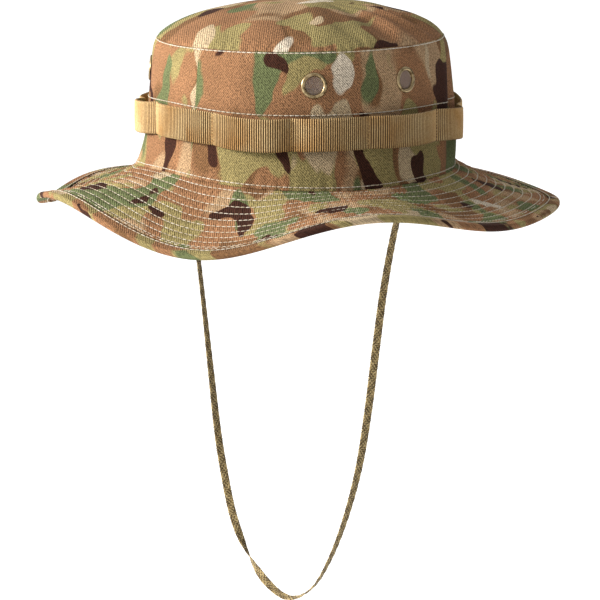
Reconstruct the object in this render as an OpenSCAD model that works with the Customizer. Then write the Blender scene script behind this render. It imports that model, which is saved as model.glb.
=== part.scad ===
// Soft field hat with a stitched brim, a webbing band of foliage loops, screened vents and a chin strap.
// Millimetres. +Z is up, the front is -Y and the wearer's left is +X.
// The origin is the centre of the head opening, where the crown, the brim and the
// sweatband are sewn together.

/* [Head opening] */
// Half width of the crown's foot, ear to ear, over the cloth
crown_half_x = 93; // [84:1:98]
// Half length of the crown's foot, front to back, over the cloth
crown_half_y = 100; // [92:1:110]

/* [Crown] */
// Height of the side wall up to the top seam
wall_h = 77; // [65:1:85]
// Rise of the top panel above its seam
dome_h = 22; // [12:1:30]
// Thickness of the crown cloth with its seam allowances
cloth_t = 0.8; // [0.6:0.1:1.2]

/* [Brim] */
// Width of the brim along its slope
brim_w = 63.5; // [50:0.5:76]
// Mean drop of the brim's edge below the opening
brim_drop = 19; // [8:0.5:28]
// Thickness of each cloth of the brim
ply_t = 0.7; // [0.5:0.1:1]
// Thickness of the stiffening between the cloths
stiffening_t = 1; // [0.6:0.1:1.5]
// Width of the edge binding
binding_w = 6.5; // [5:0.5:9]

/* [Foliage band] */
// Width of the webbing
webbing_w = 19; // [16:1:25]
// Thickness of the webbing
webbing_t = 1.2; // [0.8:0.1:1.6]
// Height of the webbing's middle above the opening
band_z = 31; // [26:1:40]
// Number of loops round the crown
loop_count = 12; // [8:1:16]
// How far a loop stands off the wall at its middle
loop_gap = 5.4; // [4:0.2:8]

/* [Vents] */
// Height of the vents above the opening
vent_z = 58; // [52:1:62]
// Radius of a vent's bore
vent_r = 5; // [4:0.25:6]

/* [Sweatband] */
// Height of the sweatband inside the crown
sweatband_h = 32; // [25:1:40]
// Thickness of the sweatband
sweatband_t = 1; // [0.6:0.1:1.6]

/* [Chin strap] */
// Width of the flat braid
strap_w = 5.5; // [4:0.5:8]
// Thickness of the flat braid
strap_t = 1.3; // [0.8:0.1:2]

/* [Hidden] */
// Each wave of the brim: how many go round, its height in mm, and the bearing of its lowest place
brim_waves = [[1, 3, 185], [2, 1, 143], [3, 3.5, 21], [4, 3.5, 19], [5, 4.5, 18], [6, 2, 16]];
brim_rows = [0, 0.1, 0.22, 0.34, 0.46, 0.58, 0.7, 0.8, 1 - binding_w / brim_w, 1];
brim_t = 2 * ply_t + stiffening_t;
binding_t = 0.7;
wall_levels = [0, 0.1, 0.2, 0.4, 0.6, 0.8, 0.92, 0.97, 1];
dome_steps = 9;
steps = 72;
// Places along a loop, as shares of it, with a flat at each tack
loop_shares = [0, 0.03, 0.12, 0.25, 0.4, 0.6, 0.75, 0.88, 0.97];
first_tack = 9;
tack_size = [0.6, 1.8, webbing_w - 2];
band_low = band_z - webbing_w / 2;
vent_bearings = [47, 85];
flange_r = vent_r + 2.6;
label_size = [30, 18, 0.4];
gap = 0.3;
seam_gap = 0.05;
// The strap hangs just ahead of the ears. Its hold points list X and Z from the wearer's left ear
// to the right, and a smooth curve is drawn through them.
strap_y = -8;
strap_holds = [
  [88.5, 1], [79, -29], [71, -65], [65, -103], [59.5, -141], [52.5, -178], [42.5, -211], [30, -240],
  [16, -261], [-2, -271], [-20, -265], [-36, -249], [-48, -227], [-56, -198], [-61, -173],
  [-65.5, -141], [-70, -108], [-74.5, -76], [-79.5, -43], [-88.5, 1]];
hold_steps = 3;
// Every sub-part, from the crown down to the strap

// Unit outward direction of the oval at a bearing t from the front, in degrees towards the wearer's left
function outward(t) = let (d = [sin(t) / crown_half_x, -cos(t) / crown_half_y]) d / norm(d);

// Point of the oval drawn at a share of its full size and moved outward by off
function oval(t, share = 1, off = 0) =
  share * [crown_half_x * sin(t), -crown_half_y * cos(t)] + off * outward(t);

// The wall leans in, most of all near its foot, and rounds over at the top seam
function wall_share(z) = let (u = max(z, 0) / wall_h) 1 - 0.09 * pow(u, 0.7) - 0.026 * pow(u, 24);

function wall_point(t, z, off) = let (p = oval(t, wall_share(z), off)) [p[0], p[1], z];

// Drop of the brim's edge at a bearing
function edge_drop(t) = brim_drop + sum_of([for (w = brim_waves) w[1] * cos(w[0] * (t - w[2]))]);

function sum_of(v, i = 0) = i < len(v) ? v[i] + sum_of(v, i + 1) : 0;

// Point of the brim at a share v of its width, steep at the crown and flatter towards the edge
function brim_point(t, v, lift, out = 0) =
  let (
    d = edge_drop(t),
    reach = sqrt(brim_w * brim_w - d * d),
    p = oval(t, 1, reach * v + out - cloth_t))
  [p[0], p[1], lift - d * v * (1.6 - 0.6 * v)];

function bearings(count) = [for (i = [0 : count - 1]) i * 360 / count];

// A solid carried through rings of points; an open one is closed at its ends by strips
// across the ring. The second half of each ring is split the other way, so that the faces of
// two layers that lie together match.
module swept(rings, closed = true) {
  n = len(rings);
  k = len(rings[0]);
  last = closed ? n - 1 : n - 2;
  sides = [for (i = [0 : last], j = [0 : k - 1])
    let (
      next = (i + 1) % n,
      a = i * k + j,
      b = i * k + (j + 1) % k,
      c = next * k + j,
      d = next * k + (j + 1) % k)
    each j < k / 2 - 1 ? [[a, c, d], [a, d, b]] : [[a, c, b], [b, c, d]]];
  ends = closed ? [] : [for (j = [0 : k / 2 - 2])
    let (a = j, b = j + 1, c = k - 2 - j, d = k - 1 - j, e = (n - 1) * k)
    each [[a, b, c], [a, c, d], [e + a, e + c, e + b], [e + a, e + d, e + c]]];
  polyhedron([for (r = rings) each r], concat(sides, ends));
}

// Places its children on the wall at a bearing and height, with their Z axis outward
module on_wall(t, z) {
  p = wall_point(t, z, 0);
  rise = (wall_share(z - 1) - wall_share(z + 1)) / 2 * crown_half_x;
  turn = atan2(outward(t)[1], outward(t)[0]);
  translate(p) rotate([0, 90 - atan(rise), turn]) children();
}

// Ring of the top panel at a share u of its seam, set in by t; the panel rounds over at its shoulder
function dome_ring(u, t) =
  let (foot = wall_share(wall_h), rise = (dome_h - t) * pow(1 - pow(u, 2.4), 0.75))
  [for (b = bearings(steps)) let (p = u * oval(b, foot, -t)) [p[0], p[1], wall_h + seam_gap + rise]];

module crown_top() {
  shares = [for (i = [1 : dome_steps]) min(sin(90 * i / dome_steps), 1)];
  inner = [for (u = shares) dome_ring(u, cloth_t)];
  outer = [for (i = [dome_steps - 1 : -1 : 0]) dome_ring(shares[i], 0)];
  color("rosybrown") swept(concat(inner, outer), closed = false);
}

module crown_side() {
  last = len(wall_levels) - 1;
  rings = [for (t = bearings(steps)) concat(
    [for (u = wall_levels) wall_point(t, max(u * wall_h, seam_gap), -cloth_t)],
    [for (i = [last : -1 : 0]) wall_point(t, max(wall_levels[i] * wall_h, seam_gap), 0)])];
  color("peru")
    difference() {
      swept(rings);
      for (t = vent_bearings, side = [-1, 1])
        on_wall(side * t, vent_z)
          translate([0, 0, -5])
            cylinder(h = 10, r = vent_r + 0.6, $fn = 32);
    }
}

// One layer of the brim between two heights measured from its upper face
module brim_layer(upper, lower) {
  last = len(brim_rows) - 1;
  swept([for (t = bearings(steps)) concat(
    [for (v = brim_rows) brim_point(t, v, upper)],
    [for (i = [last : -1 : 0]) brim_point(t, brim_rows[i], lower)])]);
}

module brim_top() { color("peru") brim_layer(0, -ply_t); }

module brim_interlining() {
  color("ivory") brim_layer(-ply_t - seam_gap, -ply_t - stiffening_t + seam_gap);
}

module brim_bottom() { color("tan") brim_layer(-ply_t - stiffening_t, -brim_t); }

module brim_binding() {
  v = 1 - binding_w / brim_w;
  low = -brim_t - seam_gap;
  color("sienna")
    swept([for (t = bearings(steps)) [
      brim_point(t, v, binding_t),
      brim_point(t, 1, binding_t),
      brim_point(t, 1, -brim_t * 0.25, binding_t),
      brim_point(t, 1, -brim_t * 0.75, binding_t),
      brim_point(t, 1, low - binding_t),
      brim_point(t, v, low - binding_t),
      brim_point(t, v, low),
      brim_point(t, 1, low, seam_gap),
      brim_point(t, 1, seam_gap, seam_gap),
      brim_point(t, v, seam_gap)]]);
}

// Strip of cloth inside the crown between two heights, set in from the wall's outer face
module inner_strip(levels, set_in, thick, from = 0, to = 360) {
  whole = to - from == 360;
  count = whole ? steps : 8;
  last = len(levels) - 1;
  swept([for (i = [0 : whole ? count - 1 : count]) let (t = from + (to - from) * i / count) concat(
    [for (z = levels) wall_point(t, z, -set_in - thick)],
    [for (j = [last : -1 : 0]) wall_point(t, levels[j], -set_in)])], closed = whole);
}

module sweatband() {
  color("burlywood")
    inner_strip([-brim_t - 0.4, 0, 0.1 * wall_h, 0.2 * wall_h, sweatband_h], cloth_t + gap, sweatband_t);
}

module size_label() {
  half_span = asin(label_size[0] / 2 / crown_half_x);
  set_in = cloth_t + 2 * gap + sweatband_t;
  color("white")
    inner_strip([6, 6 + label_size[1]], set_in, label_size[2], 180 - half_span, 180 + half_span);
}

// Stand-off of the webbing at a share of a loop: none by a tack, most at the middle
function loop_off(share) =
  let (s = min(max((share - 0.03) / 0.94, 0), 1)) loop_gap * (1 - pow(abs(2 * s - 1), 2.5));

module foliage_band() {
  foot = wall_share(band_low);
  color("goldenrod")
    swept([for (i = [0 : loop_count - 1], share = loop_shares)
      let (
        t = first_tack + (i + share) * 360 / loop_count,
        near = oval(t, foot, gap + loop_off(share)),
        far = oval(t, foot, gap + loop_off(share) + webbing_t))
      [[near[0], near[1], band_low], [near[0], near[1], band_low + webbing_w],
       [far[0], far[1], band_low + webbing_w], [far[0], far[1], band_low]]]);
}

module band_bartacks() {
  foot = wall_share(band_low);
  color("saddlebrown")
    for (t = [first_tack : 360 / loop_count : first_tack + 359]) {
      p = oval(t, foot, gap + webbing_t + 0.1);
      translate([p[0], p[1], band_z])
        rotate([0, 0, atan2(outward(t)[1], outward(t)[0])])
          translate([0, -tack_size[1] / 2, -tack_size[2] / 2])
            cube(tack_size);
    }
}

// A vent is an eyelet whose barrel passes through the wall, a mesh disc across its end and a
// washer behind
module vent_eyelet(t) {
  r = vent_r;
  color("darkgoldenrod")
    on_wall(t, vent_z)
      rotate_extrude($fn = 48)
        polygon([[r, -1.8], [r + 0.4, -1.8], [r + 0.4, 0.1], [flange_r - 0.2, 0.1], [flange_r, 0.4],
                 [flange_r - 0.5, 0.9], [flange_r - 1.3, 1.1], [r + 0.5, 0.8], [r, 0.3]]);
}

module vent_washer(t) {
  color("darkkhaki")
    on_wall(t, vent_z)
      translate([0, 0, -1.8])
        rotate_extrude($fn = 48)
          polygon([[vent_r + 0.45, 0], [flange_r - 0.3, 0], [flange_r - 0.3, 0.4], [vent_r + 0.45, 0.4]]);
}

module vent_screen(t) {
  color("dimgray")
    on_wall(t, vent_z)
      translate([0, 0, -2.1])
        cylinder(h = 0.3, r = vent_r + 0.4, $fn = 48);
}

// Hold point i; before the first and after the last, the curve carries straight on
function hold(i) =
  let (n = len(strap_holds))
  i < 0 ? 2 * strap_holds[0] - strap_holds[1] :
  i >= n ? 2 * strap_holds[n - 1] - strap_holds[n - 2] : strap_holds[i];

// Point of the smooth curve at a share f of the way from hold point i to the next
function curve_point(i, f) =
  let (a = hold(i - 1), b = hold(i), c = hold(i + 1), d = hold(i + 2))
  b + f / 2 * (c - a + f * (2 * a - 5 * b + 4 * c - d + f * (3 * b - 3 * c + d - a)));

function strap_route() =
  let (last = len(strap_holds) - 1)
  [for (i = [0 : last * hold_steps])
    curve_point(floor(i / hold_steps), (i % hold_steps) / hold_steps)];

// The braid's flat oval section, its width along Y, turned to follow the route at a point
module chin_strap() {
  route = strap_route();
  n = len(route);
  color("olive")
    swept([for (i = [0 : n - 1])
      let (
        p = route[i],
        along = route[min(i + 1, n - 1)] - route[max(i - 1, 0)],
        side = [-along[1], along[0]] / norm(along))
      [for (a = [22.5 : 45 : 360])
        let (w = cos(a) / cos(22.5) * strap_w / 2, h = sin(a) / cos(22.5) * strap_t / 2)
        [p[0] + side[0] * h, strap_y + w, p[1] + side[1] * h]]], closed = false);
}

// The stitched square on the inner face of each end of the strap
module strap_tacks() {
  route = strap_route();
  n = len(route);
  color("darkolivegreen")
    for (i = [0, n - 1]) {
      p = route[i];
      along = route[i == 0 ? 1 : n - 2] - p;
      dir = along / norm(along);
      inward = sign(p[0]) * [dir[1], -dir[0]];
      c = p + dir * 3 + inward * (strap_t / 2 + tack_size[0] / 2 + seam_gap);
      translate([c[0], strap_y, c[1]])
        rotate([0, atan2(dir[0], dir[1]), 0])
          cube([tack_size[0], strap_w - 1.5, 4], center = true);
    }
}

crown_top();
crown_side();
brim_top();
brim_interlining();
brim_bottom();
brim_binding();
sweatband();
size_label();
foliage_band();
band_bartacks();
vent_eyelet(vent_bearings[0]);  // vent_eyelet_left_front
vent_eyelet(vent_bearings[1]);  // vent_eyelet_left_rear
vent_eyelet(-vent_bearings[0]);  // vent_eyelet_right_front
vent_eyelet(-vent_bearings[1]);  // vent_eyelet_right_rear
vent_washer(vent_bearings[0]);  // vent_washer_left_front
vent_washer(vent_bearings[1]);  // vent_washer_left_rear
vent_washer(-vent_bearings[0]);  // vent_washer_right_front
vent_washer(-vent_bearings[1]);  // vent_washer_right_rear
vent_screen(vent_bearings[0]);  // vent_screen_left_front
vent_screen(vent_bearings[1]);  // vent_screen_left_rear
vent_screen(-vent_bearings[0]);  // vent_screen_right_front
vent_screen(-vent_bearings[1]);  // vent_screen_right_rear
chin_strap();
strap_tacks();
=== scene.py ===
import math
import bmesh
import bpy
import numpy as np
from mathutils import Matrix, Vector


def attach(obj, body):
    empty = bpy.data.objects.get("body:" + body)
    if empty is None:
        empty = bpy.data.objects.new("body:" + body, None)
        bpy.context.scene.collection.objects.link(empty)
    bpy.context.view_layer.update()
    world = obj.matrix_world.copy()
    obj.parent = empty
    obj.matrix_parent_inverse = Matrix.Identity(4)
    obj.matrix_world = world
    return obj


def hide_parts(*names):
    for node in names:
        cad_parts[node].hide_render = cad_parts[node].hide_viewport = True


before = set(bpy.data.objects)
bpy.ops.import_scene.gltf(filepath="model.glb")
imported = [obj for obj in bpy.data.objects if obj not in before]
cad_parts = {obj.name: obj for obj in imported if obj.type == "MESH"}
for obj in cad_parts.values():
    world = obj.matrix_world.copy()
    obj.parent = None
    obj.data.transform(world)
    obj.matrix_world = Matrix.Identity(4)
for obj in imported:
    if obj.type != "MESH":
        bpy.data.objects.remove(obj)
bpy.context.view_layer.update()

# ---------------------------------------------------------------------------------------------
# Camera, light and floor
# The hat is seen from its wearer's left front, a little from above, through a long lens. It floats
# over a plain pale floor, in a white surround that is brighter at the wearer's right front, with a
# soft lamp there and a faint one behind.
# ---------------------------------------------------------------------------------------------
MM = 0.001
CAMERA_AZIMUTH, CAMERA_ELEVATION = math.radians(40), math.radians(11.6)
CAMERA_DISTANCE = 1.798
CAMERA_AIM = Vector((0.0104, -0.0130, -0.0809))
FLOOR_Z, FLOOR_REACH = -0.45, 12


def direction(azimuth, elevation):
    """Unit vector from the hat towards a place seen at that azimuth and elevation, in radians."""
    flat = math.cos(elevation)
    return Vector((math.sin(azimuth) * flat, -math.cos(azimuth) * flat, math.sin(elevation)))


def look(obj, place, aim):
    """Puts a camera or lamp at a place, turned to face aim with its top upward."""
    obj.location = place
    obj.rotation_euler = (aim - place).to_track_quat("-Z", "Y").to_euler()
    bpy.context.scene.collection.objects.link(obj)


def soft_lamp(name, azimuth, elevation, distance, size, watts, tint=(1.0, 1.0, 1.0)):
    """A round lamp of a size in metres that faces the crown's foot; its angles are in degrees."""
    lamp = bpy.data.lights.new(name, "AREA")
    lamp.shape, lamp.size, lamp.energy, lamp.color = "DISK", size, watts, tint
    obj = bpy.data.objects.new(name, lamp)
    aim = Vector((0, 0, 0))
    look(obj, aim + direction(math.radians(azimuth), math.radians(elevation)) * distance, aim)


camera_data = bpy.data.cameras.new("camera")
camera_data.sensor_width, camera_data.lens = 36, 179.6
camera = bpy.data.objects.new("camera", camera_data)
look(camera, CAMERA_AIM + direction(CAMERA_AZIMUTH, CAMERA_ELEVATION) * CAMERA_DISTANCE, CAMERA_AIM)
bpy.context.scene.camera = camera
bpy.context.scene.view_settings.view_transform = "Standard"

world = bpy.data.worlds.new("surround")
bpy.context.scene.world = world
world.use_nodes = True
surround = next(n for n in world.node_tree.nodes if n.type == "BACKGROUND")
surround.inputs["Color"].default_value = (1, 1, 1, 1)
toward = world.node_tree.nodes.new("ShaderNodeVectorMath")
toward.operation = "DOT_PRODUCT"
toward.inputs[1].default_value = direction(math.radians(-45), math.radians(35))
bright = world.node_tree.nodes.new("ShaderNodeMapRange")
for place, value in enumerate((-0.5, 0.8, 0.12, 1.15), 1):
    bright.inputs[place].default_value = value
heading = world.node_tree.nodes.new("ShaderNodeTexCoord")
world.node_tree.links.new(heading.outputs["Generated"], toward.inputs[0])
world.node_tree.links.new(toward.outputs["Value"], bright.inputs[0])
world.node_tree.links.new(bright.outputs[0], surround.inputs["Strength"])
soft_lamp("key", -32, 19, 1.5, 0.45, 47, (1.0, 0.97, 0.93))
soft_lamp("rim", 170, 40, 1.8, 0.8, 3)

floor_mesh = bpy.data.meshes.new("floor")
floor_mesh.from_pydata([(x * FLOOR_REACH, y * FLOOR_REACH, FLOOR_Z)
                        for x, y in ((-1, -1), (1, -1), (1, 1), (-1, 1))], [], [(0, 1, 2, 3)])
floor = bpy.data.objects.new("floor", floor_mesh)
bpy.context.scene.collection.objects.link(floor)


def paint(red, green, blue, gain=0.56):
    """Linear colour of the cloth itself for a colour seen on screen, of 0 to 255 a channel. gain
    is how much darker the cloth is than it looks in this light."""
    seen = np.array([red, green, blue]) / 255
    return tuple(gain * np.where(seen < 0.04045, seen / 12.92, ((seen + 0.055) / 1.055) ** 2.4)) + (1.0,)


def new_material(name, colour, roughness=0.9, metallic=0.0, sheen=0.0):
    """A material with its constants on the shader; gives back the material, tree and shader."""
    material = bpy.data.materials.new(name)
    material.use_nodes = True
    tree = material.node_tree
    shader = next(n for n in tree.nodes if n.type == "BSDF_PRINCIPLED")
    shader.inputs["Base Color"].default_value = colour
    shader.inputs["Roughness"].default_value = roughness
    shader.inputs["Metallic"].default_value = metallic
    shader.inputs["Sheen Weight"].default_value = sheen
    shader.inputs["Specular IOR Level"].default_value = 0.5 if metallic else 0.15
    return material, tree, shader


def node(tree, kind, operation=None, **inputs):
    """A new node. Each named input is set to a number or joined to a socket; an input written
    in_0, in_1 and so on goes by its place in the list."""
    made = tree.nodes.new(kind)
    if operation:
        made.operation = operation
    for name, value in inputs.items():
        socket = made.inputs[int(name[3:])] if name.startswith("in_") else made.inputs[name]
        if isinstance(value, bpy.types.NodeSocket):
            tree.links.new(value, socket)
        else:
            socket.default_value = value
    return made


def mix_colour(tree, share, below, above):
    """Colour above laid over colour below by a share of 0 to 1."""
    made = tree.nodes.new("ShaderNodeMix")
    made.data_type = "RGBA"
    for place, value in ((0, share), (6, below), (7, above)):
        if isinstance(value, bpy.types.NodeSocket):
            tree.links.new(value, made.inputs[place])
        else:
            made.inputs[place].default_value = value
    return made.outputs[2]


def map_range(tree, value, start, end, low=0.0, high=1.0):
    """Goes from low to high as a value goes from start to end, and no further."""
    made = node(tree, "ShaderNodeMapRange", in_0=value, in_1=start, in_2=end, in_3=low, in_4=high)
    return made.outputs[0]


def step_up(tree, value, start, end):
    """Share rising from 0 to 1 as a value goes from start to end."""
    return map_range(tree, value, start, end)


def noise(tree, place, scale, detail, **more):
    """Noise of 0 to 1 at a place socket."""
    return node(tree, "ShaderNodeTexNoise", Vector=place, Scale=scale, Detail=detail, **more).outputs[0]


def times(tree, value, other):
    """A value times another; each is a number or a socket."""
    return node(tree, "ShaderNodeMath", "MULTIPLY", in_0=value, in_1=other).outputs[0]


def add_bump(tree, shader, height, distance, strength=1.0):
    """Relief on a shader from a height of 0 to 1 that stands for a distance in metres."""
    bump = node(tree, "ShaderNodeBump", Height=height, Strength=strength, Distance=distance)
    tree.links.new(bump.outputs[0], shader.inputs["Normal"])


floor_pale, tree, shader = new_material("floor_pale", (0.8, 0.8, 0.8, 1), 0.9)
shader.inputs["Emission Color"].default_value = (1, 1, 1, 1)
shader.inputs["Emission Strength"].default_value = 0.5
floor.data.materials.append(floor_pale)

# ---------------------------------------------------------------------------------------------
# Chin strap
# One flat braid of ten soft strands, 5.5 mm wide, that hangs in a long loop from just ahead of
# the ears. Each strand is a small flattened tube that weaves from edge to edge. The braid turns
# over once, low on the wearer's right, and leans a little on the way down each side.
# ---------------------------------------------------------------------------------------------
STRAP_Y = -8.0
STRAP_HOLDS = np.array([
    (88.5, 1), (79, -29), (71, -65), (65, -103), (59.5, -141), (52.5, -178), (42.5, -211), (30, -240),
    (16, -261), (-2, -271), (-20, -265), (-36, -249), (-48, -227), (-56, -198), (-61, -173),
    (-65.5, -141), (-70, -108), (-74.5, -76), (-79.5, -43), (-88.5, 1)], float)
STRAP_WIDTH = 5.5
STRANDS = 10
STRAND_SIZE = (1.0, 0.55)
BRAID_PERIOD = 11.0
BRAID_LIFT = 0.42
TURN_START, TURN_END = 305.0, 362.0
# Each lean: its middle and spread in mm from the sewn end, and its height in degrees.
LEFT_LEAN = (120, 85, -40)
RIGHT_LEANS = ((235, 75, 42), (80, 45, -12))


def unit(vectors):
    """Vectors of any shape (..., 3) at length 1."""
    return vectors / np.linalg.norm(vectors, axis=-1, keepdims=True)


def smooth_curve(holds, steps):
    """Catmull-Rom curve through hold points: between two of them it leaves each along the line
    that joins that point's neighbours. It carries straight on past each end."""
    ends = np.vstack([2 * holds[0] - holds[1], holds, 2 * holds[-1] - holds[-2]])
    a, b, c, d = (ends[i:len(ends) - 3 + i, None] for i in range(4))
    f = (np.arange(steps) / steps)[None, :, None]
    parts = b + f / 2 * (c - a + f * (2 * a - 5 * b + 4 * c - d + f * (3 * b - 3 * c + d - a)))
    return np.vstack([parts.reshape(-1, holds.shape[1]), holds[-1]])


def resample(path, spacing):
    """Points at an equal spacing along a path, and how far along it each lies."""
    gone = np.concatenate([[0], np.cumsum(np.linalg.norm(np.diff(path, axis=0), axis=1))])
    count = max(int(round(gone[-1] / spacing)), 2)
    places = np.linspace(0, gone[-1], count + 1)
    return np.stack([np.interp(places, gone, path[:, i]) for i in range(path.shape[1])], -1), places


def mesh_object(name, points, faces, material, body="hat"):
    """A smooth-shaded object from points in millimetres, riding on a body."""
    mesh = bpy.data.meshes.new(name)
    mesh.from_pydata(points.reshape(-1, 3) * MM, [], faces)
    mesh.polygons.foreach_set("use_smooth", np.ones(len(mesh.polygons), bool))
    mesh.materials.append(material)
    obj = bpy.data.objects.new(name, mesh)
    bpy.context.scene.collection.objects.link(obj)
    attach(obj, body)
    return obj


def threads(name, lines, outward, size, material, body="hat", sides=6, taper=None, shades=None):
    """One capped tube along each line. lines is (tubes, points, 3). outward is the way that each
    point's flat side faces. size is width and height, taper their share at each point, and
    shades a number for each tube that its material reads."""
    tubes, count = lines.shape[:2]
    outward = np.broadcast_to(outward, lines.shape)
    along = unit(np.gradient(lines, axis=1))
    side = unit(np.cross(outward, along))
    up = np.cross(along, side)
    taper = np.ones(count) if taper is None else np.asarray(taper)
    turn = 2 * np.pi * (np.arange(sides) + 0.5) / sides
    across = np.cos(turn)[None, None, :, None] * taper[None, :, None, None] * size[0] / 2
    over = np.sin(turn)[None, None, :, None] * taper[None, :, None, None] * size[1] / 2
    points = lines[:, :, None] + side[:, :, None] * across + up[:, :, None] * over
    tube, i, j = np.meshgrid(np.arange(tubes), np.arange(count - 1), np.arange(sides), indexing="ij")
    first = tube * count * sides + i * sides
    k = (j + 1) % sides
    quads = np.stack([first + j, first + k, first + sides + k, first + sides + j], -1).reshape(-1, 4)
    starts = np.arange(tubes)[:, None] * count * sides
    caps = np.vstack([starts + np.arange(sides)[::-1], starts + (count - 1) * sides + np.arange(sides)])
    obj = mesh_object(name, points, quads.tolist() + caps.tolist(), material, body)
    if shades is not None:
        shade = obj.data.attributes.new("shade", "FLOAT", "POINT")
        shade.data.foreach_set("value", np.repeat(shades, count * sides).astype(np.float32))
    return obj


def thread_material(name, colours, roughness=0.75, grain=2500.0):
    """Spun thread: a colour for each tube from its shade number, with fine fibre grain."""
    material, tree, shader = new_material(name, colours[0], roughness, sheen=0.2)
    ramp = tree.nodes.new("ShaderNodeValToRGB")
    ramp.color_ramp.interpolation = "CONSTANT"
    for _ in colours[2:]:
        ramp.color_ramp.elements.new(0.5)
    for place, colour in enumerate(colours):
        ramp.color_ramp.elements[place].position = place / len(colours)
        ramp.color_ramp.elements[place].color = colour
    tubes = tree.nodes.new("ShaderNodeAttribute")
    tubes.attribute_name = "shade"
    tree.links.new(tubes.outputs["Fac"], ramp.inputs[0])
    spot = tree.nodes.new("ShaderNodeTexCoord").outputs["Object"]
    fibre = noise(tree, spot, grain, 2.0)
    shadow = tuple(0.45 * c for c in colours[0][:3]) + (1.0,)
    dimmed = times(tree, step_up(tree, fibre, 0.62, 0.3), 0.55)
    tree.links.new(mix_colour(tree, dimmed, ramp.outputs[0], shadow), shader.inputs["Base Color"])
    add_bump(tree, shader, fibre, 0.0002, 0.6)
    return material


def leaning(down, middle, spread, degrees):
    """Lean in radians a way down one side of the loop, in mm from its sewn end: a bell of a height
    in degrees round the middle."""
    return math.radians(degrees) * np.exp(-((down - middle) / spread) ** 2)


flat_path, gone = resample(smooth_curve(STRAP_HOLDS, 40), 0.6)
strap_path = np.stack([flat_path[:, 0], np.full(len(flat_path), STRAP_Y), flat_path[:, 1]], -1)
strap_length = gone[-1]
tangent = unit(np.gradient(strap_path, axis=0))
across = np.broadcast_to((0.0, 1.0, 0.0), strap_path.shape)
facing = np.cross(across, tangent)
turned = np.clip((gone - TURN_START) / (TURN_END - TURN_START), 0, 1)
roll = np.pi * turned * turned * (3 - 2 * turned)
roll += leaning(gone, *LEFT_LEAN)
for lean in RIGHT_LEANS:
    roll += leaning(strap_length - gone, *lean)
width_way = across * np.cos(roll)[:, None] + facing * np.sin(roll)[:, None]
face_way = facing * np.cos(roll)[:, None] - across * np.sin(roll)[:, None]
phase = (gone / BRAID_PERIOD)[None] + (np.arange(STRANDS) / STRANDS)[:, None]
zigzag = 4 * np.abs(phase % 1 - 0.5) - 1
crossing = np.clip(3 * np.sin(2 * np.pi * phase), -1, 1) * np.cos(2 * np.pi * STRANDS * phase)
reach = (STRAP_WIDTH - STRAND_SIZE[0]) / 2
strand_lines = (strap_path[None] + zigzag[..., None] * reach * width_way[None]
                + crossing[..., None] * BRAID_LIFT * face_way[None])
strap_braid = thread_material("strap_braid", [
    paint(226, 202, 146), paint(60, 44, 24), paint(204, 178, 120), paint(88, 66, 38),
    paint(160, 134, 86)])
strap = threads("chin_strap_braid", strand_lines, face_way[None], STRAND_SIZE, strap_braid, "strap",
                shades=(np.arange(STRANDS) * 3 % STRANDS + 0.5) / STRANDS)
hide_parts("chin_strap")

TACK_ROWS = 12
tack_lines = []
for end, way in ((0, 1), (-1, -1)):
    inward = np.array([-np.sign(strap_path[end, 0]), 0, 0])
    down = unit(strap_path[end + way * 6] - strap_path[end])
    heights = np.linspace(1.0, 5.0, TACK_ROWS)[:, None, None]
    share = np.linspace(-1, 1, 7)[None, :, None]
    lean = 0.35 * share
    tack_lines.append(strap_path[end] + down * (heights + lean) + inward * (0.75 + 0.25 * (1 - share ** 4))
                      + np.array([0, 1, 0]) * share * (STRAP_WIDTH / 2 - 0.7))
tack_thread = thread_material("tack_thread", [
    paint(238, 196, 128), paint(206, 160, 94), paint(176, 128, 70)])
strap_tacks = threads("strap_tack_stitches", np.vstack(tack_lines), np.array([1.0, 0, 0]), (0.42, 0.4),
                      tack_thread, "strap", shades=np.resize((0.1, 0.5, 0.8), 2 * TACK_ROWS))
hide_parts("strap_tacks")

# ---------------------------------------------------------------------------------------------
# Crown side
# The tall wall of the crown, one strip of printed cotton twill with its seam at the back. It is a
# swept surface that puckers along its seams, with two folds behind the left ear.
# ---------------------------------------------------------------------------------------------
HALF_X, HALF_Y = 93.0, 100.0
WALL_H = 77.0
WALL_RADIUS = 96.5
CLOTH_T = 0.8
ROW_HEIGHTS = (76.3, 41.3, 1.9)
SEAM_HALF = 2.2
VENT_BEARINGS = (47, 85, -47, -85)
VENT_Z, VENT_R = 58.0, 5.0


def outward_of(t):
    """Unit outward direction in plan of the crown's oval at bearing t, in radians from the front."""
    return unit(np.stack([np.sin(t) / HALF_X, -np.cos(t) / HALF_Y, 0 * t], -1))


def oval(t, share, off):
    """Plan of the crown's oval: share times the full oval, then moved outward by off."""
    full = np.stack([HALF_X * np.sin(t), -HALF_Y * np.cos(t), 0 * t], -1)
    return np.asarray(share)[..., None] * full + np.asarray(off)[..., None] * outward_of(t)


def wall_share(z):
    """The wall's lean: 1 at the foot, less 0.09 times the 0.7 power of its share of the height, and
    less 0.026 at the top seam by the 24th power, where it rounds over."""
    u = np.maximum(z, 0) / WALL_H
    return 1 - 0.09 * u ** 0.7 - 0.026 * u ** 24


def hump(t, centre, width):
    """Bell of height 1 round a bearing in degrees; it falls to 0.37 at width degrees away."""
    away = (np.degrees(t) - centre + 180) % 360 - 180
    return np.exp(-(away / width) ** 2)


def sit(t, z):
    """Rise in mm of everything near the head seam, which isn't flat: it is higher at the
    front and lower towards the left ear and behind it, and all three fade up the wall."""
    u = np.clip(z / WALL_H, 0, 1)
    return (4.2 * hump(t, -14, 27) * (1 - u ** 2) - 2.2 * hump(t, 62, 30) * (1 - u) ** 3
            - 1.8 * hump(t, 125, 22) * (1 - u ** 2))


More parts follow.
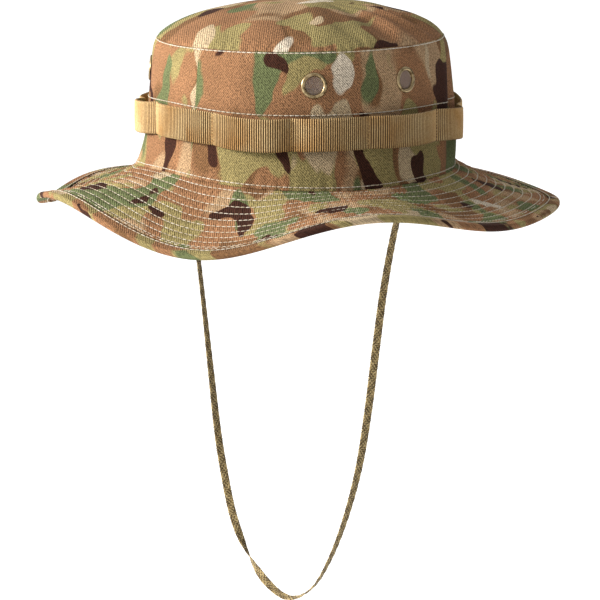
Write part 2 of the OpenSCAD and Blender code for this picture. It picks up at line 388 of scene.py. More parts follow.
def foot_shift(t):
    """How far the crown's foot stands out from the oval: 2.2 mm more at the wearer's right front,
    and 3 mm less behind the left ear."""
    return 2.2 * hump(t, -50, 20) - 3.0 * hump(t, 128, 24)


def ripple(t, low, high, seed):
    """Soft closed ripple round the hat: the sum of sines with each whole number of waves from low
    to high in a random phase, scaled to a usual height of 1."""
    count = np.arange(low, high + 1)
    start = np.random.default_rng(seed).uniform(0, 2 * np.pi, count.size)
    return np.sin(count * t[..., None] + start).sum(-1) / np.sqrt(count.size)


def wall_point(t, z, off=0.0):
    """Outer face of the wall: the leaning oval, with 0.3 mm puckers that fade within a few mm of
    each seam, a slow unevenness of under 1 mm, two slanting folds of 2 mm behind the left ear with
    a valley between them, and a foot that follows foot_shift and flares at the right front."""
    near_seams = np.exp(-(WALL_H - z) / 5) + np.exp(-z / 5)
    pucker = 0.32 * near_seams * ripple(t, 60, 96, 1)
    slow = 0.45 * np.sin(np.pi * z / WALL_H) * ripple(t + z / 260, 3, 9, 2)
    slanted, raked = t - z / 300, t + z / 90
    fold = 2.2 * hump(slanted, 102, 4.5) - 2.0 * hump(slanted, 110, 4) + 1.9 * hump(slanted, 119, 5)
    fold = fold * np.sin(np.pi * np.clip(z / WALL_H, 0, 1)) ** 0.7
    flare = 0.9 * hump(raked, -44, 5) * np.exp(-z / 16) - 0.7 * hump(raked, -34, 4) * np.exp(-z / 14)
    flare = flare + foot_shift(t) * np.exp(-z / 9)
    point = oval(t, wall_share(z), pucker + slow + fold + flare + off)
    point[..., 2] = z + sit(t, z)
    return point


def bearings(count):
    """Evenly spaced bearings once round the hat, in radians."""
    return 2 * np.pi * np.arange(count) / count


def surface(name, grid, uv, material, body="hat", closed_rows=False):
    """Quads over a grid of points in mm, (rows, columns, 3), which closes on itself round the
    hat. uv is in metres, with one column more than the grid, and one row more if closed_rows."""
    rows, columns = grid.shape[:2]
    i, j = np.meshgrid(np.arange(rows if closed_rows else rows - 1), np.arange(columns), indexing="ij")
    below, right = (i + 1) % rows, (j + 1) % columns
    faces = np.stack([i * columns + j, i * columns + right,
                      below * columns + right, below * columns + j], -1)
    obj = mesh_object(name, grid, faces.reshape(-1, 4), material, body)
    layer = obj.data.uv_layers.new(name="UVMap")
    corners = np.stack([uv[i, j], uv[i, j + 1], uv[i + 1, j + 1], uv[i + 1, j]], 2)
    layer.data.foreach_set("uv", corners.reshape(-1).astype(np.float32))
    return obj


def plan_uv(grid, shift):
    """UV in metres of a piece cut flat: the plan of its closed grid, moved by a shift."""
    return np.concatenate([grid, grid[:, :1]], 1)[..., :2] * MM + np.array(shift)


def printed_cloth(name, stretch, slant, seed, gain=0.56):
    """Cotton twill printed with a plain woodland pattern of our own, on UV in metres. Layers of
    thresholded noise lie over a rust ground: soft tan and brown, olive and green patches, pale tan
    and sharp dark lobes, then cream ovals from the cells of a Voronoi pattern. stretch draws every
    shape out along V, and slant leans them."""
    material, tree, shader = new_material(name, paint(164, 120, 84, gain), 0.93)
    uv = tree.nodes.new("ShaderNodeUVMap").outputs[0]
    waver = node(tree, "ShaderNodeTexNoise", Vector=uv, Scale=38.0, Detail=1.5).outputs[1]
    loose = node(tree, "ShaderNodeVectorMath", "MULTIPLY_ADD",
                 in_0=waver, in_1=(0.022, 0.022, 0), in_2=uv).outputs[0]
    turn = tree.nodes.new("ShaderNodeMapping")
    tree.links.new(loose, turn.inputs["Vector"])
    turn.inputs["Rotation"].default_value = (0, 0, slant)
    drawn = node(tree, "ShaderNodeVectorMath", "MULTIPLY",
                 in_0=turn.outputs[0], in_1=(1, 1 / stretch, 1)).outputs[0]
    colour = paint(166, 121, 85, gain)
    for scale, layer, level, soft, tone in (
            (28.0, 1.3, 0.56, 0.04, (192, 158, 120)), (34.0, 2.7, 0.57, 0.03, (138, 100, 66)),
            (40.0, 4.1, 0.54, 0.02, (168, 152, 100)), (32.0, 5.9, 0.585, 0.015, (116, 124, 82)),
            (38.0, 7.7, 0.65, 0.015, (206, 182, 146)), (44.0, 9.2, 0.65, 0.008, (70, 40, 28))):
        moved = node(tree, "ShaderNodeVectorMath", "ADD", in_0=drawn, in_1=(0, 0, seed + layer)).outputs[0]
        share = step_up(tree, noise(tree, moved, scale, 1.0, Roughness=0.45), level, level + soft)
        colour = mix_colour(tree, share, colour, paint(*tone, gain))
    shifted = node(tree, "ShaderNodeVectorMath", "MULTIPLY_ADD", in_0=turn.outputs[0],
                   in_1=(1, 0.42, 0), in_2=(seed * 0.37, seed * 0.21, 0)).outputs[0]
    cells = node(tree, "ShaderNodeTexVoronoi", Vector=shifted, Scale=31.0)
    inside = step_up(tree, cells.outputs["Distance"], 0.185, 0.165)
    lot = node(tree, "ShaderNodeSeparateColor", in_0=cells.outputs["Color"]).outputs[0]
    oval_share = times(tree, inside, step_up(tree, lot, 0.62, 0.63))
    colour = mix_colour(tree, oval_share, colour, paint(236, 220, 196, gain))
    grain = noise(tree, uv, 950.0, 1.0)
    worn = noise(tree, uv, 60.0, 3.0)
    twill = tree.nodes.new("ShaderNodeTexWave")
    twill.bands_direction = "DIAGONAL"
    tree.links.new(uv, twill.inputs["Vector"])
    twill.inputs["Scale"].default_value = 420.0
    twill.inputs["Distortion"].default_value = 1.5
    weave = node(tree, "ShaderNodeMath", "MULTIPLY_ADD",
                 in_0=twill.outputs[1], in_1=0.35, in_2=grain).outputs[0]
    light = map_range(tree, weave, 0.42, 0.93, 0.42, 1.6)
    fade = map_range(tree, worn, 0.3, 0.7, 0.88, 1.12)
    shaded = node(tree, "ShaderNodeVectorMath", "SCALE", in_0=colour, Scale=times(tree, light, fade))
    tree.links.new(shaded.outputs[0], shader.inputs["Base Color"])
    add_bump(tree, shader, weave, 0.0006, 0.8)
    return material


def stitches(name, runs, material, pitch=3.1, length=2.9, size=(0.72, 0.5), sag=0.16):
    """Short threads laid end to end. runs lists pairs of a path and its outward way, in mm. Each
    thread bows up by sag over its length, and its ends dip into the cloth."""
    lines, ways = [], []
    bow = np.linspace(-0.5, 0.5, 5)[None, :, None]
    for path, outward in runs:
        both, _ = resample(np.hstack([path, outward]), pitch)
        middle, way = (both[1:, :3] + both[:-1, :3]) / 2, unit(both[1:, 3:])
        along = unit(both[1:, :3] - both[:-1, :3])
        lines.append(middle[:, None] + along[:, None] * bow * length - way[:, None] * sag * 4 * bow ** 2)
        ways.append(np.broadcast_to(way[:, None], lines[-1].shape))
    lines, ways = np.vstack(lines), np.vstack(ways)
    shades = np.random.default_rng(len(lines)).uniform(0, 0.999, len(lines))
    return threads(name, lines, ways, size, material, sides=5,
                   taper=(0.6, 0.95, 1, 0.95, 0.6), shades=shades)


WALL_COLUMNS, WALL_ROWS = 620, 110
crown_cloth = printed_cloth("crown_cloth", 2.0, 0.0, 3.0)
t_grid, z_grid = np.meshgrid(bearings(WALL_COLUMNS), np.linspace(0.05, WALL_H, WALL_ROWS))
wall_grid = wall_point(t_grid, z_grid)
t_uv, z_uv = np.meshgrid(np.linspace(0, 2 * np.pi, WALL_COLUMNS + 1), np.linspace(0, WALL_H, WALL_ROWS))
wall_uv = np.stack([t_uv * WALL_RADIUS, z_uv], -1) * MM
crown_side = surface("crown_side_cloth", wall_grid, wall_uv, crown_cloth)
holes = np.ones(len(crown_side.data.polygons), bool)
middles = np.empty(holes.size * 3)
crown_side.data.polygons.foreach_get("center", middles)
middles = middles.reshape(-1, 3) / MM
for bearing in VENT_BEARINGS:
    vent = wall_point(np.array([math.radians(bearing)]), np.array([VENT_Z]))[0]
    holes &= np.linalg.norm(middles - vent, axis=1) > VENT_R + 0.9
shell = bmesh.new()
shell.from_mesh(crown_side.data)
shell.faces.ensure_lookup_table()
bmesh.ops.delete(shell, geom=[shell.faces[i] for i in np.flatnonzero(~holes)], context="FACES")
shell.to_mesh(crown_side.data)
shell.free()
thickness = crown_side.modifiers.new("cloth thickness", "SOLIDIFY")
thickness.thickness, thickness.offset = CLOTH_T * MM, -1
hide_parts("crown_side")

cream_thread = thread_material("cream_thread", [
    paint(244, 228, 202), paint(226, 206, 176), paint(252, 240, 220)], 0.7, 1800.0)
ring = np.linspace(0, 2 * np.pi, 1441)
outer_way = outward_of(ring)
crown_runs = [(wall_point(ring, np.full(ring.shape, z), 0.22), outer_way) for z in ROW_HEIGHTS]
for shift in (-SEAM_HALF, SEAM_HALF):
    rise = np.linspace(3, WALL_H - 2, 90)
    back = np.full(rise.shape, np.pi) + shift / HALF_Y
    crown_runs.append((wall_point(back, rise, 0.2), outward_of(back)))
stitches("crown_side_stitching", crown_runs, cream_thread)

# ---------------------------------------------------------------------------------------------
# Crown top
# The oval top panel, the same printed twill. It is a soft dome that rounds over at its shoulder.
# It puckers at the seam, with a few creases and shoulder folds towards the wearer's left.
# ---------------------------------------------------------------------------------------------
DOME_H = 22.0
DOME_COLUMNS, DOME_ROWS = 560, 90


def dome_point(t, u):
    """Top panel at share u of its seam: its rise is 22 mm times (1 - u^2.4)^0.75, less 1.2 mm in
    the middle. Seam puckers fade inwards, creases of 1.3 mm run over the left half, folds of
    3 mm fan out from the left shoulder, and two short pinches cross the left front."""
    foot = wall_share(WALL_H)
    inset = (1 - u) * HALF_X
    pucker = 0.3 * np.exp(-inset / 5) * ripple(t, 60, 96, 1)
    point = u[..., None] * oval(t, foot + 0 * u, 0 * u) + pucker[..., None] * outward_of(t)
    x, y = point[..., 0], point[..., 1]
    left = 1 / (1 + np.exp(-(x * 0.8 - y * 0.3 - 25) / 18))
    crease = 1.3 * np.sin((x * 0.9 + y * 1.2) / 9 + 1.5 * np.sin(x / 23)) * left
    crease = crease * np.sin(np.pi * u) ** 0.6
    radial = 3.0 * np.sin(22 * t + 2 * np.sin(3 * t)) * hump(t, 98, 34) * u ** 2.5 * (1 - u ** 12)
    pinch = (-1.4 * hump(t + 0.5 * (1 - u), 41, 2.2) * u ** 4
             - 1.0 * hump(t + 0.7 * (1 - u), 70, 2.2) * u ** 6)
    slow = 0.8 * np.sin(x / 21 + 1) * np.sin(y / 27 + 2) * (1 - u ** 6) - 1.2 * (1 - u ** 2) ** 2
    point[..., 2] = WALL_H + 0.05 + (DOME_H - 0.4) * np.maximum(1 - u ** 2.4, 0) ** 0.75 + slow
    point[..., 2] += crease + radial + pinch * (1 - u ** 20)
    return point


t_grid, u_grid = np.meshgrid(bearings(DOME_COLUMNS), np.sin(np.linspace(np.pi / 2, 0.004, DOME_ROWS)))
dome_grid = dome_point(t_grid, u_grid)
crown_top = surface("crown_top_cloth", dome_grid, plan_uv(dome_grid, (0.6, 0.35)), crown_cloth)
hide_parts("crown_top")

# ---------------------------------------------------------------------------------------------
# Brim
# Two layers of printed twill over a stiff interlining, quilted together by rows of pale stitching
# 5.5 mm apart and wavy at the edge. The cloth puffs up between the rows.
# ---------------------------------------------------------------------------------------------
BRIM_W, BRIM_DROP = 63.5, 19.0
BRIM_WAVES = ((1, 3, 185), (2, 1, 143), (3, 3.5, 21), (4, 3.5, 19), (5, 4.5, 18), (6, 2, 16))
PLY_T, STIFFENING_T = 0.7, 1.0
BRIM_T = 2 * PLY_T + STIFFENING_T
BINDING_W, BINDING_T = 6.5, 0.7
ROW_FIRST, ROW_STEP, ROW_COUNT = 3.2, 5.5, 10
ROW_LAST = 54.9
BRIM_COLUMNS, BRIM_ROWS = 640, 118
CORE_COLUMNS, CORE_ROWS = 180, 12


def edge_drop(t):
    """Drop of the brim's edge: a mean and six cosine waves, each lowest at its own bearing."""
    return BRIM_DROP + sum(high * np.cos(count * (t - math.radians(low)))
                           for count, high, low in BRIM_WAVES)


def brim_point(t, v, lift=0.0, out=0.0):
    """Brim at share v of its width: it reaches out along the oval's normals, steep at the crown and
    flatter towards the edge, and near the crown it follows the head seam's rise and shift."""
    drop = edge_drop(t)
    reach = np.sqrt(BRIM_W ** 2 - drop ** 2)
    near_crown = np.clip(1 - v, 0, 1)
    point = oval(t, 1 + 0 * t, reach * v + out - CLOTH_T + foot_shift(t) * near_crown ** 2)
    point[..., 2] = lift - drop * v * (1.6 - 0.6 * v) + sit(t, 0) * near_crown ** 1.6
    return point


def row_waver(t):
    """Sideways wander of the stitch rows, of about 0.3 mm."""
    return 0.3 * ripple(t, 5, 24, 5)


def quilting(t, v):
    """Height of the cloth between stitch rows: -0.35 mm in a row, rising as the root of a sine to
    0.55 mm midway, with small cross wrinkles drawn in towards each row."""
    along = v * BRIM_W - row_waver(t)
    beat = np.abs(np.sin(np.pi * (along - ROW_FIRST) / ROW_STEP))
    puff = -0.35 + 0.9 * np.sqrt(beat)
    draw = (0.13 * ripple(t + v * 0.05, 150, 210, 6) * (0.3 + beat)
            + 0.15 * ripple(t - v * 0.2, 40, 70, 7) * beat)
    inside = np.clip((ROW_LAST + 1.5 - along) / 2, 0, 1) * np.clip(along / 2, 0, 1)
    return (puff + draw) * inside


def slope_way(t, v):
    """Unit upward direction square to the brim's surface, from small steps along and across it."""
    round_step = brim_point(t + 1e-3, v) - brim_point(t - 1e-3, v)
    inward_step = brim_point(t, v - 1e-3) - brim_point(t, v + 1e-3)
    return unit(np.cross(round_step, inward_step))


brim_cloth = printed_cloth("brim_cloth", 1.0, 0.6, 11.0)
t_grid, v_grid = np.meshgrid(bearings(BRIM_COLUMNS), np.linspace(1, 0, BRIM_ROWS))
top_grid = brim_point(t_grid, v_grid, quilting(t_grid, v_grid))
brim_top = surface("brim_top_cloth", top_grid, plan_uv(top_grid, (1.3, 0.2)), brim_cloth)
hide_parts("brim_top")

under_grid = brim_point(t_grid, v_grid, -BRIM_T - quilting(t_grid, v_grid))[::-1]
brim_bottom = surface("brim_bottom_cloth", under_grid, plan_uv(under_grid, (2.1, 1.2)), brim_cloth)
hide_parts("brim_bottom")

stiffening = new_material("stiffening", paint(215, 210, 195), 0.95)[0]
core_levels = np.linspace(0.99, 0.01, CORE_ROWS)
core_lifts = np.repeat((-PLY_T, -PLY_T - STIFFENING_T), CORE_ROWS)
t_core, v_core = np.meshgrid(bearings(CORE_COLUMNS), np.concatenate([core_levels, core_levels[::-1]]))
core_grid = brim_point(t_core, v_core, core_lifts[:, None] + 0 * t_core)
core_uv = np.zeros((2 * CORE_ROWS + 1, CORE_COLUMNS + 1, 2))
core_uv[..., 0] = np.linspace(0, 0.7, CORE_COLUMNS + 1)
interlining = surface("brim_interlining_sheet", core_grid, core_uv, stiffening, closed_rows=True)
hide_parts("brim_interlining")

row_places = [ROW_FIRST + ROW_STEP * k for k in range(ROW_COUNT)] + [ROW_LAST]
top_runs, under_runs = [], []
for place in row_places:
    share = (place + row_waver(ring)) / BRIM_W
    way = slope_way(ring, share)
    height = 0.0 if place < ROW_LAST else 0.25
    top_runs.append((brim_point(ring, share, height), way))
    under_runs.append((brim_point(ring, share, -BRIM_T - height), -way))
stitches("brim_top_stitching", top_runs, cream_thread)
stitches("brim_bottom_stitching", under_runs, cream_thread)

# ---------------------------------------------------------------------------------------------
# Brim binding
# A folded strip of the same twill round the brim's edge, held by one row of stitching near its
# inner edge. Its section wraps over the edge, and it puckers a little along the stitching.
# ---------------------------------------------------------------------------------------------
BINDING_COLUMNS, FLAT_POINTS, BEND_POINTS = 900, 9, 9
half = BRIM_T / 2 + 0.05
flat_reach = np.linspace(BRIM_W - BINDING_W, BRIM_W, FLAT_POINTS)
bend = np.linspace(0, np.pi, BEND_POINTS + 2)[1:-1]
bend_r = half + BINDING_T
reach_row = np.concatenate([
    [flat_reach[0] + 0.4], flat_reach, BRIM_W + bend_r * np.sin(bend) * 0.7,
    flat_reach[::-1], [flat_reach[0] + 0.4]])
lift_row = np.concatenate([
    [0.1], np.full(FLAT_POINTS, BINDING_T - 0.05), -BRIM_T / 2 + bend_r * np.cos(bend),
    np.full(FLAT_POINTS, -BRIM_T - BINDING_T + 0.05), [-BRIM_T - 0.1]])
side_row = np.sign(lift_row + BRIM_T / 2)
t_grid, reach_grid = np.meshgrid(bearings(BINDING_COLUMNS), reach_row[::-1])
lift_grid = np.broadcast_to(lift_row[::-1, None], t_grid.shape)
inner = np.clip(1 - (reach_grid - flat_reach[0]) / 3.2, 0, 1)
dip = -0.3 * np.exp(-((reach_grid - flat_reach[0] - 1.3) / 0.7) ** 2)
pucker = 0.16 * ripple(t_grid, 130, 190, 8) * inner + 0.12 * ripple(t_grid, 40, 60, 9) + dip
binding_grid = brim_point(t_grid, np.minimum(reach_grid, BRIM_W) / BRIM_W,
                          lift_grid + side_row[::-1, None] * pucker * (inner > 0),
                          np.maximum(reach_grid - BRIM_W, 0))
binding_uv = plan_uv(binding_grid, (3.4, 2.2)) + lift_row[::-1, None, None] * MM
binding_cloth = printed_cloth("binding_cloth", 1.0, 0.9, 23.0)
binding = surface("brim_binding_strip", binding_grid, binding_uv, binding_cloth)
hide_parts("brim_binding")
share = np.full(ring.shape, (BRIM_W - BINDING_W + 1.3) / BRIM_W)
edge_way = slope_way(ring, share)
stitches("binding_stitching", [
    (brim_point(ring, share, BINDING_T + 0.02), edge_way),
    (brim_point(ring, share, -BRIM_T - BINDING_T - 0.02), -edge_way)], cream_thread)

# ---------------------------------------------------------------------------------------------
# Foliage band
# Ribbed nylon webbing 19 mm wide round the crown, tacked down twelve times so that it bows out
# into loops. The ribs run across it and are modelled, with painted shade in the grooves between
# them, and each bartack is a zigzag of threads.
# ---------------------------------------------------------------------------------------------
WEBBING_W, WEBBING_T, BAND_Z = 19.0, 1.2, 31.0
LOOP_COUNT, LOOP_GAP, FIRST_TACK, TACK_WIDTH = 12, 5.4, 9, 3.2
RIB_PITCH, RIB_H, PICK_PITCH = 1.3, 0.32, 0.6
BAND_RADIUS, BAND_OFF = 97.0, 0.35
BAND_COLUMNS, SECTION_POINTS = 2680, 28
BAND_FOOT = BAND_Z - WEBBING_W / 2


def tack_bearing(count):
    """Bearing of a tack: evenly spaced, with a shift of up to 3 degrees from hand sewing."""
    even = FIRST_TACK + 360 / LOOP_COUNT * count
    return np.radians(even + 1.6 * np.sin(count * 2.2 + 0.6) - 1.2 * np.sin(np.radians(even)))


def loop_stand_off(t):
    """How far the webbing stands off the wall: a flat-topped bow between two tacks, from nothing
    to its own full height, since loops sewn by hand differ."""
    tacks = tack_bearing(np.arange(-1, LOOP_COUNT + 2))
    place = np.interp(t, tacks, np.arange(-1, LOOP_COUNT + 2))
    share = place % 1
    which = np.floor(place).astype(int) % LOOP_COUNT
    high = LOOP_GAP * (0.9 + 0.22 * np.sin(which * 2.7 + 1.0))
    return high * (1 - np.abs(2 * share - 1) ** 2.6)


def hang(t):
    """How the band sits up or down: with the wall, but lower behind the left ear and at the right
    front."""
    return sit(t, BAND_Z) - 3.4 * hump(t, 125, 26) - 1.6 * hump(t, -55, 22)


def band_point(t, height, off):
    """Webbing at a height above its lower edge and a distance off the wall at its foot."""
    point = oval(t, wall_share(BAND_FOOT) + 0 * t, loop_stand_off(t) + off)
    slack = 0.5 * np.sin(t * 7 + 1) * loop_stand_off(t) / LOOP_GAP
    point[..., 2] = BAND_FOOT + height + hang(t) + slack
    return point


turn = bearings(SECTION_POINTS)
section_out = np.sign(np.cos(turn)) * np.abs(np.cos(turn)) ** 0.55 * WEBBING_T / 2
section_up = np.sign(np.sin(turn)) * np.abs(np.sin(turn)) ** 0.75 * WEBBING_W / 2
t_grid, out_grid = np.meshgrid(bearings(BAND_COLUMNS), section_out)
up_grid = np.broadcast_to(section_up[:, None], t_grid.shape)
rib = RIB_H * np.cos(2 * np.pi * t_grid * BAND_RADIUS / RIB_PITCH) * (np.abs(up_grid) < WEBBING_W / 2 - 0.7)
selvage = 0.12 * (np.abs(np.abs(up_grid) - WEBBING_W / 2 + 1.1) < 0.5)
band_grid = band_point(t_grid, WEBBING_W / 2 + up_grid,
                       BAND_OFF + WEBBING_T / 2 + out_grid + np.sign(out_grid) * (rib + selvage))
band_uv = np.zeros((SECTION_POINTS + 1, BAND_COLUMNS + 1, 2))
band_uv[..., 0] = np.linspace(0, 2 * np.pi, BAND_COLUMNS + 1) * BAND_RADIUS * MM
band_uv[..., 1] = np.append(section_up, section_up[0])[:, None] * MM

webbing, tree, shader = new_material("webbing", paint(180, 152, 112), 0.55)
uv = tree.nodes.new("ShaderNodeUVMap").outputs[0]
split = node(tree, "ShaderNodeSeparateXYZ", Vector=uv)
rib_phase = times(tree, split.outputs[0], 2 * math.pi / (RIB_PITCH * MM))
ribs = node(tree, "ShaderNodeMath", "COSINE", in_0=rib_phase).outputs[0]
# Painted shade: a share that rises to 1 in the valleys of the same cosine as the modelled ribs, so the
# grooves between them come out dark.
groove_shade = step_up(tree, ribs, 0.45, -0.35)
pick_phase = times(tree, split.outputs[1], 2 * math.pi / (PICK_PITCH * MM))
picks = node(tree, "ShaderNodeMath", "SINE", in_0=pick_phase).outputs[0]
fibre = noise(tree, uv, 900.0, 2.0)
stain = noise(tree, uv, 45.0, 2.0)
colour = mix_colour(tree, step_up(tree, stain, 0.35, 0.7), paint(255, 220, 160), paint(232, 180, 112))
# Painted shade in the rib grooves: near-black brown laid over the webbing colour by that share.
colour = mix_colour(tree, times(tree, groove_shade, 0.95), colour, paint(48, 24, 8))
flecks = times(tree, step_up(tree, fibre, 0.6, 0.35), 0.32)
tree.links.new(mix_colour(tree, flecks, colour, paint(130, 94, 54)), shader.inputs["Base Color"])
knit = node(tree, "ShaderNodeMath", "MULTIPLY_ADD", in_0=picks, in_1=0.3, in_2=fibre).outputs[0]
add_bump(tree, shader, knit, 0.00015, 0.7)
band = surface("foliage_band_webbing", band_grid, band_uv, webbing, closed_rows=True)
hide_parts("foliage_band")

TACK_THREADS, TACK_MARGIN, TACK_LEAN = 20, 1.2, 0.44
share = np.linspace(-1, 1, 5)
levels = np.linspace(TACK_MARGIN, WEBBING_W - TACK_MARGIN, TACK_THREADS)[:, None]
lean = TACK_LEAN * share * (-1.0) ** np.arange(TACK_THREADS)[:, None]
off = BAND_OFF + WEBBING_T + 0.22 - 0.25 * share ** 4
t_tacks = tack_bearing(np.arange(LOOP_COUNT))[:, None, None] + 0 * lean + share * TACK_WIDTH / 2 / BAND_RADIUS
tack_runs = oval(t_tacks, wall_share(BAND_FOOT) + 0 * t_tacks, off)
tack_runs[..., 2] = BAND_FOOT + levels + lean + hang(t_tacks)
tack_runs = tack_runs.reshape(-1, share.size, 3)
tack_ways = unit(tack_runs * np.array([1, 1, 0]))
bartacks = threads("bartack_threads", tack_runs, tack_ways, (0.55, 0.5), tack_thread, sides=5,
                   shades=np.random.default_rng(4).uniform(0, 0.999, len(tack_runs)))
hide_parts("band_bartacks")

# ---------------------------------------------------------------------------------------------
# Vents
# Four antiqued brass eyelets through the wall, each with a disc of woven wire mesh behind it and a
# washer clenched inside the crown. The rings are turned profiles and the mesh is real wires.
# ---------------------------------------------------------------------------------------------
VENT_NAMES = ("left_front", "left_rear", "right_front", "right_rear")
EYELET_PROFILE = np.array([
    (5.25, -1.8), (5.25, -0.4), (5.3, 0.2), (5.5, 0.6), (5.85, 0.88), (6.3, 1.0), (6.8, 0.92), (7.2, 0.7),
    (7.5, 0.4), (7.6, 0.12), (7.45, 0.02), (5.55, 0.02), (5.5, -1.8)])
WASHER_PROFILE = np.array([(5.5, -1.75), (7.3, -1.75), (7.3, -1.4), (5.5, -1.4)])[::-1]
WIRE_PITCH, WIRE_D, MESH_R, MESH_SET_BACK = 0.56, 0.3, 5.25, 0.7
LATHE_STEPS = 72


def vent_axes(bearing):
    """Centre of a vent on the wall, and its sideways, upward and outward directions."""
    t, z = np.array([math.radians(bearing)]), np.array([VENT_Z])
    side = unit(wall_point(t + 0.03, z) - wall_point(t - 0.03, z))[0]
    up = unit(wall_point(t, z + 3) - wall_point(t, z - 3))[0]
    out = unit(np.cross(side, up))
    return wall_point(t, z)[0], side, np.cross(out, side), out


def lathe(name, profile, bearing, material):
    """A profile of radius and height turned about a vent's axis."""
    centre, side, up, out = vent_axes(bearing)
    a = bearings(LATHE_STEPS)[None, :, None]
    r, h = profile[:, 0][:, None, None], profile[:, 1][:, None, None]
    grid = centre + r * (np.cos(a) * side + np.sin(a) * up) + h * out
    return surface(name, grid, np.zeros((len(profile) + 1, LATHE_STEPS + 1, 2)), material,
                   closed_rows=True)


brass, tree, shader = new_material("antique_brass", paint(150, 128, 92, 0.75), 0.38, 1.0)
spot = tree.nodes.new("ShaderNodeTexCoord").outputs["Object"]
tarnish = noise(tree, spot, 420.0, 4.0)
patina = mix_colour(tree, step_up(tree, tarnish, 0.45, 0.7),
                    paint(190, 168, 128, 0.8), paint(96, 76, 48, 0.7))
tree.links.new(patina, shader.inputs["Base Color"])
tree.links.new(map_range(tree, tarnish, 0.3, 0.7, 0.28, 0.5), shader.inputs["Roughness"])
washer_brass = new_material("washer_brass", paint(170, 148, 96, 0.7), 0.5, 1.0)[0]
mesh_wire = new_material("vent_mesh", paint(168, 148, 136, 0.7), 0.6, 0.3)[0]
for vent_name, bearing in zip(VENT_NAMES, VENT_BEARINGS):
    centre, side, up, out = vent_axes(bearing)
    eyelet = lathe("vent_eyelet_ring_" + vent_name, EYELET_PROFILE, bearing, brass)
    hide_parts("vent_eyelet_" + vent_name)
    washer = lathe("vent_washer_ring_" + vent_name, WASHER_PROFILE, bearing, washer_brass)
    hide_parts("vent_washer_" + vent_name)
    rows = np.arange(-9, 10) * WIRE_PITCH
    half_chord = np.sqrt(np.maximum(MESH_R ** 2 - rows ** 2, 0.3))[:, None]
    run = np.linspace(-1, 1, 46)[None] * half_chord
    sign = ((-1.0) ** np.arange(rows.size))[:, None]
    wave = 0.14 * sign * np.cos(np.pi * run / WIRE_PITCH)
    base = centre - out * MESH_SET_BACK
    warp = base + rows[:, None, None] * up + run[..., None] * side + wave[..., None] * out
    weft = base + rows[:, None, None] * side + run[..., None] * up - wave[..., None] * out
    screen = threads("vent_screen_wires_" + vent_name, np.vstack([warp, weft]), out,
                     (WIRE_D, WIRE_D), mesh_wire, sides=5)
    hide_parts("vent_screen_" + vent_name)

# ---------------------------------------------------------------------------------------------
# Sweatband and size label
# A plain tan cotton band inside the foot of the crown, turned over at its top edge and stitched,
# with one small blank label sewn to it at the back.
# ---------------------------------------------------------------------------------------------
BAND_H, BAND_T, BAND_SET_IN, BAND_LOW = 32.0, 1.0, 1.25, -2.7
LABEL_W, LABEL_H, LABEL_T, LABEL_Z = 30.0, 18.0, 0.4, 6.0
LABEL_COLUMNS, LABEL_ROWS = 60, 36
LABEL_TRIM = 1.2
SWEATBAND_COLUMNS, SWEATBAND_ROWS = 540, 22
SWEATBAND_GIRTH = 0.593


def inner_point(t, z, set_in):
    """Place inside the crown, set in from the wall's smooth outer face."""
    point = oval(t, wall_share(z), foot_shift(t) * np.exp(-np.maximum(z, 0) / 9) - set_in)
    point[..., 2] = z + sit(t, z)
    return point


rise = np.linspace(BAND_LOW, BAND_H - 0.5, SWEATBAND_ROWS)
z_row = np.concatenate([rise, [BAND_H, BAND_H], rise[::-1]])
in_row = np.concatenate([
    np.full(SWEATBAND_ROWS, BAND_SET_IN), [BAND_SET_IN + 0.2, BAND_SET_IN + BAND_T - 0.1],
    np.full(SWEATBAND_ROWS, BAND_SET_IN + BAND_T)])[:, None]
t_grid, z_grid = np.meshgrid(bearings(SWEATBAND_COLUMNS), z_row)
inner_side = in_row > BAND_SET_IN + 0.5
turned_edge = 0.1 * np.exp(-(BAND_H - z_grid) / 1.5)
in_grid = in_row + inner_side * (0.08 * ripple(t_grid, 60, 110, 12) + turned_edge)
sweat_grid = inner_point(t_grid, z_grid, in_grid)[::-1]
sweat_uv = np.zeros((z_row.size + 1, SWEATBAND_COLUMNS + 1, 2))
sweat_uv[..., 0] = np.linspace(0, SWEATBAND_GIRTH, SWEATBAND_COLUMNS + 1)
sweat_uv[..., 1] = np.append(z_row[::-1], z_row[-1])[:, None] * MM


def plain_cloth(name, tone, grain_scale=1100.0):
    """Undyed or plain dyed twill: one colour with thread grain."""
    material, tree, shader = new_material(name, paint(*tone), 0.92, sheen=0.12)
    uv = tree.nodes.new("ShaderNodeUVMap").outputs[0]
    grain = noise(tree, uv, grain_scale, 2.5)
    shadow = tuple(0.55 * c for c in paint(*tone)[:3]) + (1.0,)
    share = times(tree, step_up(tree, grain, 0.62, 0.35), 0.7)
    tree.links.new(mix_colour(tree, share, paint(*tone), shadow), shader.inputs["Base Color"])
    add_bump(tree, shader, grain, 0.0003, 0.7)
    return material


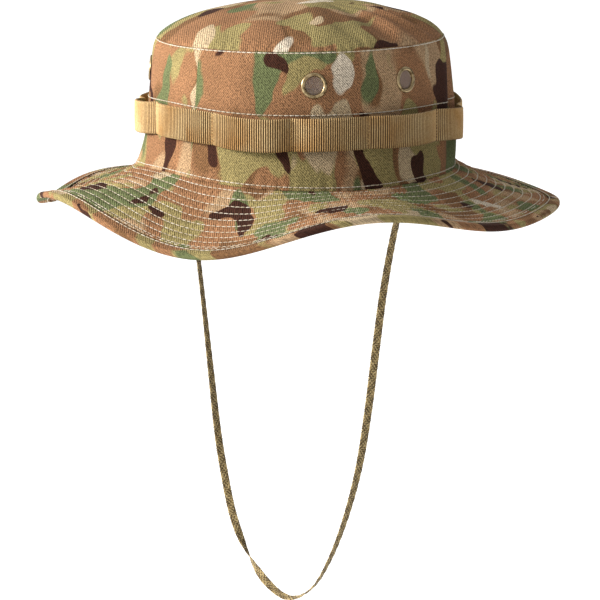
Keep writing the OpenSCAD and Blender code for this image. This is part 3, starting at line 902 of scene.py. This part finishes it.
sweatband_cloth = plain_cloth("sweatband_cloth", (168, 150, 112))
sweatband = surface("sweatband_tape", sweat_grid, sweat_uv, sweatband_cloth, closed_rows=True)
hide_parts("sweatband")
inner_runs = [(inner_point(ring, np.full(ring.shape, z), BAND_SET_IN + BAND_T + 0.25), -outward_of(ring))
              for z in (BAND_H - 3.0, 1.5)]
stitches("sweatband_stitching", inner_runs, cream_thread)

label_t = np.pi + np.linspace(-1, 1, LABEL_COLUMNS) * LABEL_W / 2 / HALF_Y
label_z = np.linspace(LABEL_Z, LABEL_Z + LABEL_H, LABEL_ROWS)
front_in = BAND_SET_IN + BAND_T + 0.3 + LABEL_T
label_cloth = new_material("label_cloth", paint(226, 220, 204), 0.85)[0]
t_lab, z_lab = np.meshgrid(label_t, label_z)
faces_grid = inner_point(t_lab, z_lab, front_in + 0.05 * np.sin(t_lab * 260) * np.sin(z_lab * 1.4))
i, j = np.meshgrid(np.arange(LABEL_ROWS - 1), np.arange(LABEL_COLUMNS - 1), indexing="ij")
first, over = i * LABEL_COLUMNS + j, (i + 1) * LABEL_COLUMNS + j
label_faces = np.stack([first, over, over + 1, first + 1], -1).reshape(-1, 4)
label = mesh_object("size_label_patch", faces_grid, label_faces, label_cloth)
edge = label.modifiers.new("label thickness", "SOLIDIFY")
edge.thickness, edge.offset = LABEL_T * MM, -1
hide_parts("size_label")
trim_t = np.pi + np.linspace(-1, 1, LABEL_COLUMNS) * (LABEL_W / 2 - LABEL_TRIM) / HALF_Y
low, high = LABEL_Z + LABEL_TRIM, LABEL_Z + LABEL_H - LABEL_TRIM
trim_z = np.linspace(low, high, 40)
trim_lines = [(trim_t, np.full(trim_t.shape, z)) for z in (low, high)]
trim_lines += [(np.full(trim_z.shape, t), trim_z) for t in (trim_t[0], trim_t[-1])]
label_runs = [(inner_point(t, z, front_in + 0.15), -outward_of(t)) for t, z in trim_lines]
stitches("label_stitching", label_runs, cream_thread, pitch=2.2, length=1.6, size=(0.4, 0.34), sag=0.2)
